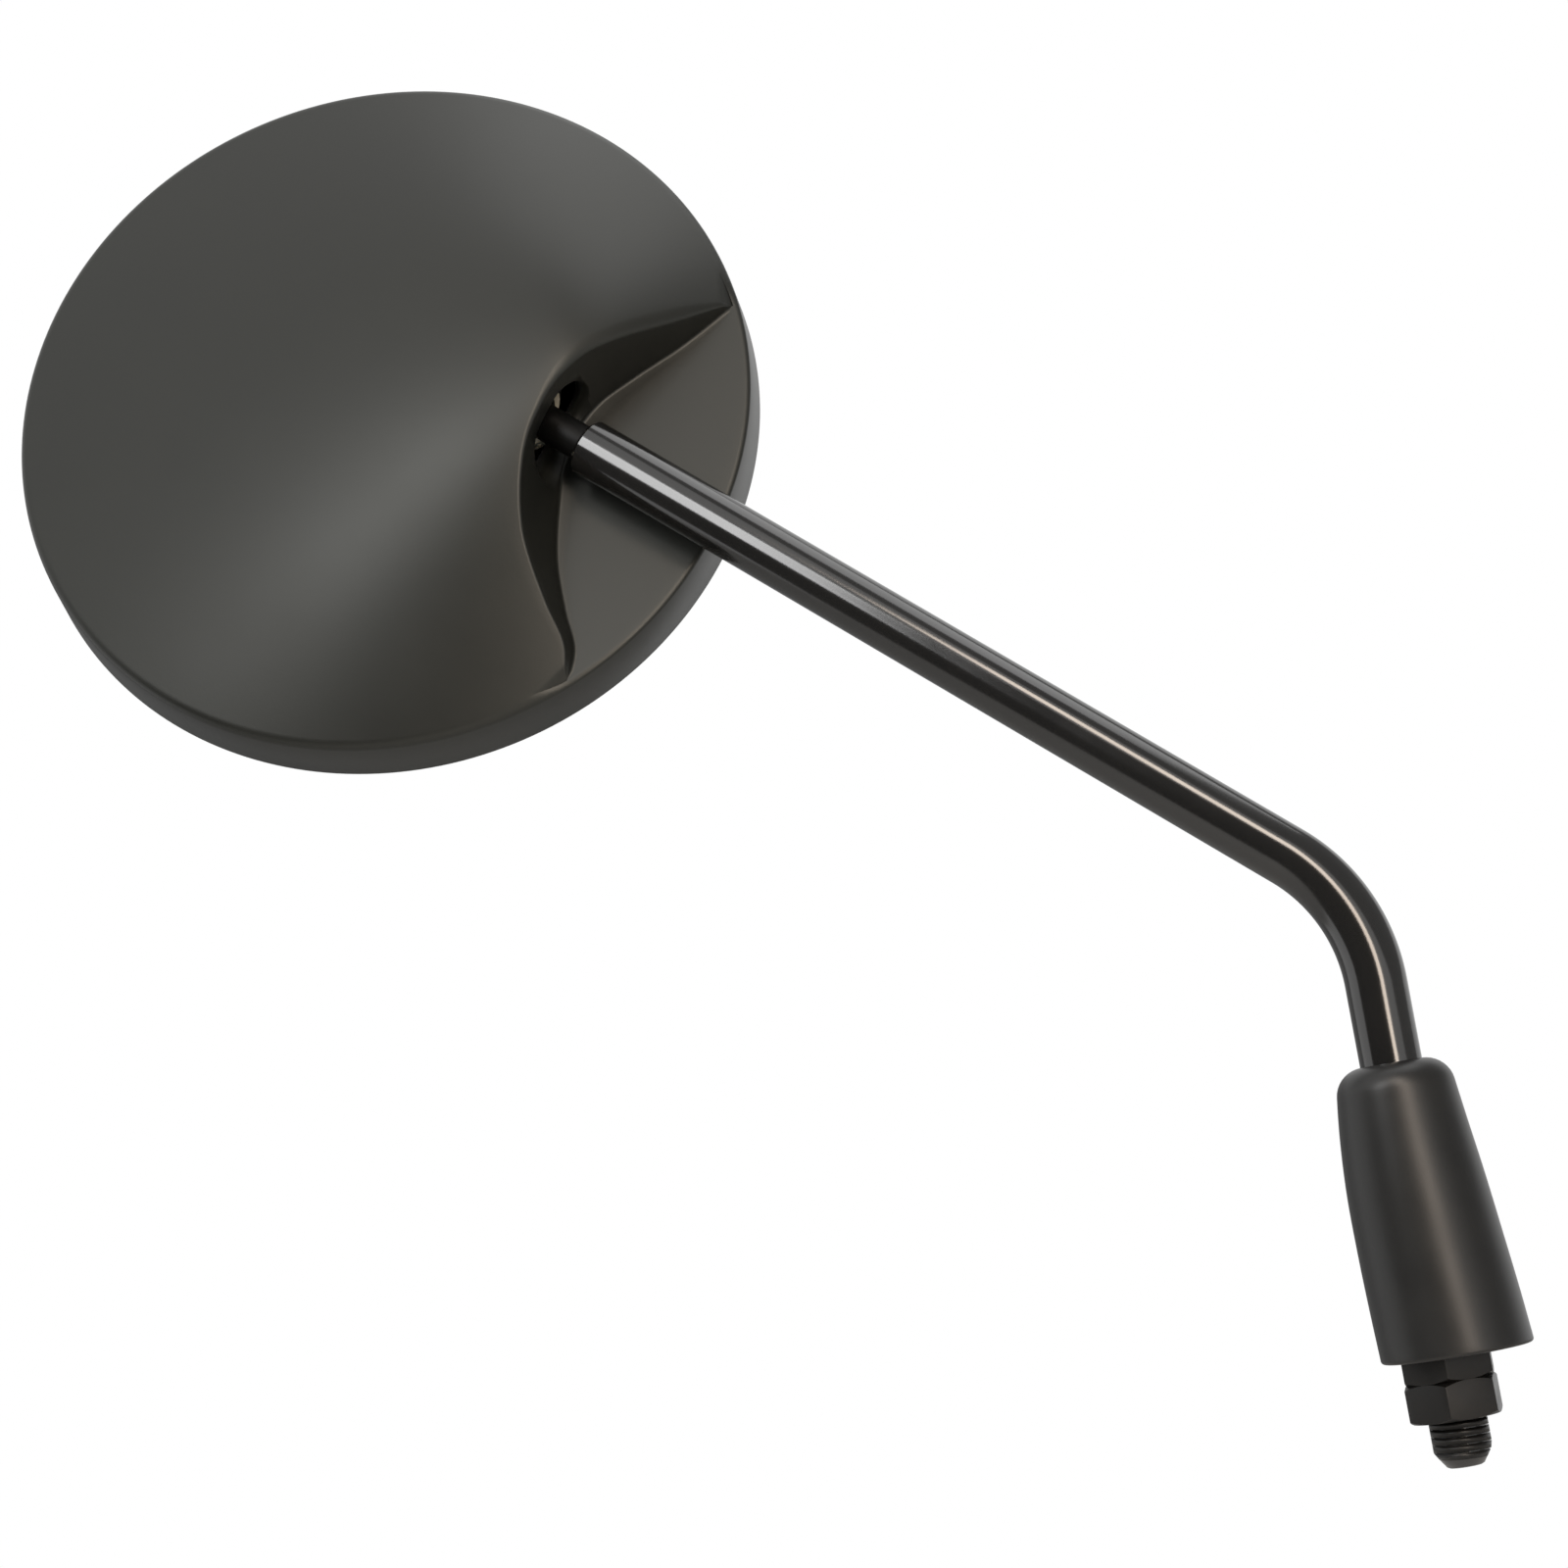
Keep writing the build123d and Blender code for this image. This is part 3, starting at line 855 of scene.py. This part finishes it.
# Grained black plastic: a dark neutral grey in the light, matt from the fine spark grain
# of the mould, which is drawn about twice as coarse as it is so that the render shows it.
plastic, tree, place = start_material("grained_black_plastic")
grain = add_node(tree, "ShaderNodeTexNoise", {"Vector": place, "Scale": per_metre(0.5), "Detail": 3.0})
clouds = add_node(tree, "ShaderNodeTexNoise", {"Vector": place, "Scale": per_metre(22), "Detail": 5.0})
spark = add_node(tree, "ShaderNodeBump", {"Height": grain, "Strength": 0.16, "Distance": 0.05 * MM})
close_material(
    tree,
    tones=(clouds, "#181917", "#1e1f1c"),
    roughness=(clouds, 0.36, 0.44),
    Normal=spark,
    IOR=1.5,
    Specular_Tint=linear("#fefffa"),
)
housing = make_piece(
    "grained_housing", housing_points, housing_faces, plastic, crease_deg=housing_crease_deg
)

slot_turns = np.linspace(0, 2 * math.pi, slot_segments, endpoint=False)
slot_half = (slot_width - slot_height) / 2
slot_outline = [
    across * (slot_height / 2 * math.cos(t) + math.copysign(slot_half, math.cos(t)))
    + back * (slot_height / 2 * math.sin(t))
    for t in slot_turns
]
slot_rings = [
    [ball + along * distance + point for point in slot_outline]
    for distance in (slot_start, slot_start + slot_reach)
]
slot_cutter = make_piece("slot_cutter", *skin_rings(slot_rings))
opening = housing.modifiers.new("rod_slot", "BOOLEAN")
opening.operation = "DIFFERENCE"
opening.solver = "EXACT"
opening.object = slot_cutter
cut_mesh = plain_mesh(housing)
housing.modifiers.clear()
housing.data = cut_mesh
bpy.data.objects.remove(slot_cutter)
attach(housing, "head")
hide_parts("housing")

# The clamp and its screws: a cup and three ears pressed from sheet steel, drawn against
# the ball by three pan-head self-tapping screws, all bright zinc plated.

# Bright zinc plate: a cool silvery metal, clouded by the faint spangle of the plating.
zinc, tree, place = start_material("bright_zinc_plate")
spangle = add_node(tree, "ShaderNodeTexVoronoi", {"Vector": place, "Scale": per_metre(1.5)})
close_material(
    tree,
    tones=(spangle, "#b9bbba", "#cfd1cf"),
    roughness=(spangle, 0.22, 0.4),
    Metallic=1.0,
)
for node in ("ball_clamp", "clamp_screws"):
    dress(node, zinc)

# The gasket: a ring die-cut from a sheet of closed-cell foam, stuck to the ledge behind the
# glass so that the glass neither rattles nor cracks.

# Closed-cell foam: a dull black, pitted with fine cells.
foam, tree, place = start_material("closed_cell_foam")
cells = add_node(tree, "ShaderNodeTexVoronoi", {"Vector": place, "Scale": per_metre(0.5)})
pits = add_node(tree, "ShaderNodeBump", {"Height": cells, "Strength": 0.5, "Distance": 0.1 * MM})
close_material(tree, tones=(cells, "#141414", "#262626"), roughness=0.9, Normal=pits)
dress("glass_gasket", foam)

# The mirror: a disc of 3 mm glass bent to a large radius, ground at its edge, silvered on
# the back and painted over the silver; here the whole piece takes the silvered finish.
glass_radius = 63.4 * MM
glass_thickness = 3.0 * MM
glass_curve_radius = 1200 * MM
glass_front = 0.228 * MM
glass_bevel = 0.35 * MM
glass_pole = 0.2 * MM
glass_segments = 192
glass_rows = 20


def sag(radius):
    """How far the bent glass falls back at a radius."""
    return glass_curve_radius - math.sqrt(glass_curve_radius**2 - radius**2)


def head_rings(profile, segments):
    """Rings round the head's middle line from radius and height pairs."""
    return [
        ring_at(head_centre + back * height, along, across, radius, segments)
        for radius, height in profile
    ]


face_radii = np.linspace(glass_pole, glass_radius - glass_bevel, glass_rows)
edge_front = glass_front + sag(glass_radius)
glass_profile = [(r, glass_front + sag(r)) for r in face_radii]
glass_profile += [
    (glass_radius, edge_front + glass_bevel),
    (glass_radius, edge_front + glass_thickness - glass_bevel),
]
glass_profile += [(r, glass_front + glass_thickness + sag(r)) for r in reversed(face_radii)]

# Silvered glass: a clear bright mirror with the faintest waves of bent glass in it.
silver, tree, place = start_material("silvered_glass")
waves = add_node(tree, "ShaderNodeTexNoise", {"Vector": place, "Scale": per_metre(60), "Detail": 1.0})
swell = add_node(tree, "ShaderNodeBump", {"Height": waves, "Strength": 0.02, "Distance": 0.2 * MM})
close_material(
    tree, tones=(waves, "#e4e8e8", "#eaeeee"), roughness=0.02, Metallic=1.0, Normal=swell
)
mirror = make_piece("silvered_mirror", *skin_rings(head_rings(glass_profile, glass_segments)), silver)
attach(mirror, "head")
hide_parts("mirror_glass")

# The bezel: a moulded ring pressed into the front of the housing over the glass's edge, in
# the same black plastic without the grain.
bezel_outer = 64.15 * MM
bezel_inner = 61.4 * MM
bezel_depth = 1.75 * MM
bezel_round = 0.6 * MM
bezel_round_rows = 8
bezel_ease = 0.2 * MM
bezel_profile = [
    (bezel_inner + bezel_round * (1 - math.cos(t)), bezel_round * (1 - math.sin(t)))
    for t in np.linspace(0, math.pi / 2, bezel_round_rows)
]
bezel_profile += [
    (bezel_outer - bezel_ease, 0),
    (bezel_outer, bezel_ease),
    (bezel_outer, bezel_depth),
    (bezel_inner, bezel_depth),
]

# Smooth black plastic: a satin black, a little glossier than the housing, with the faint
# clouds that the melt leaves as it flows round the mould.
smooth_plastic, tree, place = start_material("smooth_black_plastic")
flow = add_node(tree, "ShaderNodeTexNoise", {"Vector": place, "Scale": per_metre(12), "Detail": 4.0})
close_material(
    tree, tones=(flow, "#181918", "#212220"), roughness=(flow, 0.28, 0.4), IOR=1.5
)
bezel = make_piece(
    "glass_retaining_bezel",
    *skin_rings(head_rings(bezel_profile, glass_segments), loop=True),
    smooth_plastic,
)
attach(bezel, "head")
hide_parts("glass_bezel")

# The studio: a pale paper floor well below the stud, white surroundings, a long strip light
# from above to the right, softboxes at the upper left and overhead, the camera, and three
# dark cloths that stand only in reflections, for the unlit sides of the room.
scene = bpy.context.scene
scene.view_settings.view_transform = "Standard"
floor_drop = 120 * MM
floor_size = 750 * MM
floor_segments = 96


def lay_sheet(name, centre, axis_a, axis_b, segments, material):
    """A flat oval sheet round a centre, as long and as wide as two directions."""
    points = [tuple(point) for point in ring_at(centre, axis_a, axis_b, 1, segments)]
    mesh = bpy.data.meshes.new(name)
    mesh.from_pydata(points, [], [tuple(range(segments))])
    return add_object(name, mesh, material)


# Pale paper: a matt near-white with a little tooth.
paper, tree, place = start_material("pale_paper")
tooth = add_node(tree, "ShaderNodeTexNoise", {"Vector": place, "Scale": per_metre(2), "Detail": 2.0})
close_material(tree, tones=(tooth, "#f4f4f2", "#f8f8f6"), roughness=0.9)
floor_centre = upright * (cad_box[0][2] - floor_drop)
floor = lay_sheet(
    "pale_floor", floor_centre, sideways * floor_size, level * floor_size, floor_segments, paper
)

# White surroundings: full white where they are looked at, straight, mirrored or through a
# clear piece, and much weaker as a light.
ambient = 0.2
world = bpy.data.worlds.new("white_room")
scene.world = world
world.use_nodes = True
tree = world.node_tree
tree.nodes.clear()
path = add_node(tree, "ShaderNodeLightPath").node.outputs
shown = path["Is Camera Ray"]
for ray in ("Is Glossy Ray", "Is Transmission Ray"):
    shown = add_node(tree, "ShaderNodeMath", (shown, path[ray]), operation="MAXIMUM")
strength = add_node(tree, "ShaderNodeMapRange", {"Value": shown, "To Min": ambient, "To Max": 1.0})
sky = add_node(tree, "ShaderNodeBackground", {"Color": linear("#ffffff"), "Strength": strength})
add_node(tree, "ShaderNodeOutputWorld", {"Surface": sky})


def square_axes(out, long_axis):
    """A long axis made square to an outward direction, the axis square to both, and the direction."""
    out = out.normalized()
    run = (long_axis - out * long_axis.dot(out)).normalized()
    return run, out.cross(run), out


def stand(name, data, spot, axes):
    """A lamp or a camera at a spot, turned to three axes."""
    holder = add_object(name, data)
    holder.matrix_world = Matrix.Translation(spot) @ Matrix(axes).transposed().to_4x4()
    return holder


def hang_lamp(name, centre, target, long_axis, length, width, radiance, colour="#ffffff"):
    """A flat softbox that faces a target, with its length in a given direction."""
    lamp = bpy.data.lights.new(name, "AREA")
    lamp.shape = "RECTANGLE"
    lamp.size, lamp.size_y = length, width
    lamp.energy = radiance * math.pi * length * width
    lamp.color = linear(colour)[:3]
    holder = stand(name, lamp, centre, square_axes(centre - target, long_axis))
    holder.visible_camera = False


aim = Vector((-40, 0, 110)) * MM
strip_top = Vector((81, -450, 640)) * MM
strip_end = Vector((428, -564, -13)) * MM
hang_lamp(
    "strip_light",
    centre=(strip_top + strip_end) / 2,
    target=aim,
    long_axis=strip_end - strip_top,
    length=(strip_end - strip_top).length,
    width=130 * MM,
    radiance=9.3,
    colour="#ffeedd",
)
hang_lamp(
    "upper_left_softbox",
    centre=Vector((-240, -696, 503)) * MM,
    target=aim,
    long_axis=rod_up,
    length=210 * MM,
    width=440 * MM,
    radiance=7.2,
)
hang_lamp(
    "overhead_softbox",
    centre=Vector((80, 153, 799)) * MM,
    target=head_centre,
    long_axis=sideways,
    length=466 * MM,
    width=466 * MM,
    radiance=1.65,
)

# The camera stands where the photograph was taken from.
camera_place = Vector((124.2, -621.4, 50.8)) * MM
camera_target = Vector((-93.7, 0, 121.3)) * MM
camera_roll = math.radians(-9.72)
camera = bpy.data.cameras.new("photo_camera")
camera.lens = 89.4
camera.sensor_width = 36
camera.sensor_fit = "HORIZONTAL"
camera.clip_start = 10 * MM
towards_camera = camera_place - camera_target
camera_right = Matrix.Rotation(camera_roll, 3, towards_camera) @ upright.cross(towards_camera)
scene.camera = stand(
    "photo_camera", camera, camera_place, square_axes(towards_camera, camera_right)
)

cloth_segments = 64


def hang_cloth(name, away, long_axis, distance, half_length, half_width, radiance):
    """An oval of dark cloth round a direction, seen only in reflections."""
    # Dark cloth: an even dull grey, as dark as the little light that it gives back.
    cloth, tree, _ = start_material(name)
    close_material(
        tree,
        tones="#101010",
        roughness=1.0,
        Specular_IOR_Level=0.0,
        Emission_Color=linear("#ffffff"),
        Emission_Strength=radiance,
    )
    run, rise, out = square_axes(Vector(away), Vector(long_axis))
    spot = aim + out * distance
    sheet = lay_sheet(name, spot, run * half_length, rise * half_width, cloth_segments, cloth)
    for ray in ("camera", "diffuse", "shadow", "transmission"):
        setattr(sheet, "visible_" + ray, False)


hang_cloth(
    "black_cloth",
    away=(-0.186, -0.979, -0.083),
    long_axis=(0.951, -0.2, 0.235),
    distance=950 * MM,
    half_length=1050 * MM,
    half_width=800 * MM,
    radiance=0.09,
)
hang_cloth(
    "grey_cloth",
    away=(0.74, 0.12, 0.6),
    long_axis=upright,
    distance=1100 * MM,
    half_length=1300 * MM,
    half_width=1000 * MM,
    radiance=0.3,
)
hang_cloth(
    "back_cloth",
    away=(-0.7, 0.7, -0.15),
    long_axis=upright,
    distance=1100 * MM,
    half_length=700 * MM,
    half_width=700 * MM,
    radiance=0.3,
)
